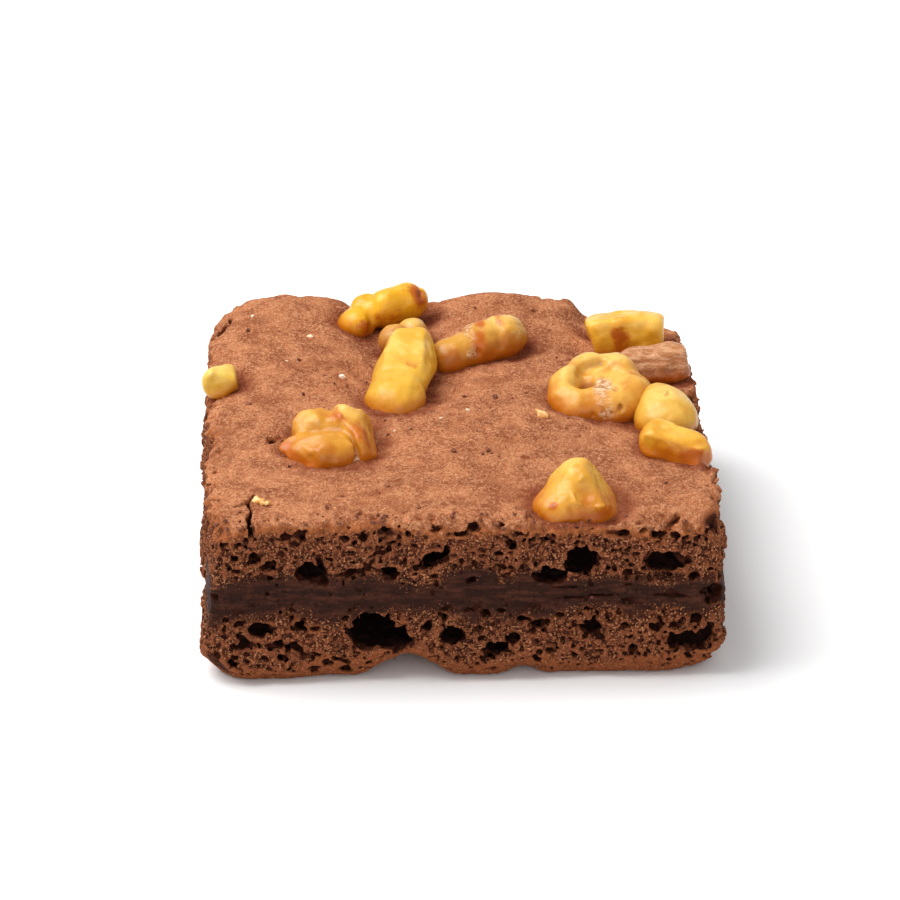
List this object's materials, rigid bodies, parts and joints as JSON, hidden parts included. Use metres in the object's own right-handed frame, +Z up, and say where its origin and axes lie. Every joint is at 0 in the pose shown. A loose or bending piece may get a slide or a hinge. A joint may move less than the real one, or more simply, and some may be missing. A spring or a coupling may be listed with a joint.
{
  "type": "chocolate brownie",
  "caption": "Square cut of chocolate brownie with a dense fudge band through its crumb and walnut pieces baked into its top.",
  "frame": {"origin": "on the surface the cake stands on, under the centre of its bounding box", "axes": "+Z up through the cake's thickness, -Y out of the front cut face, +X to the right seen from the front"},
  "size_m": [0.0666, 0.0664, 0.0276],
  "materials": {
    "crumb": "dry, airy chocolate crumb with a thin matte baked crust",
    "fudge": "dense dark fudge, faintly moist",
    "walnut": "toasted golden walnut, softly glossy"
  },
  "bodies": {
    "root": {"crumb_lower": "crumb", "fudge_band": "fudge", "crumb_upper": "crumb", "walnut_back": "walnut", "walnut_under": "walnut", "walnut_long": "walnut", "walnut_two_lobed": "walnut", "walnut_chunk": "walnut", "walnut_block": "walnut", "walnut_curl": "walnut", "walnut_brown": "walnut", "walnut_smooth": "walnut", "walnut_edge": "walnut", "walnut_peak": "walnut", "walnut_crumb": "walnut"}
  },
  "joints": []
}
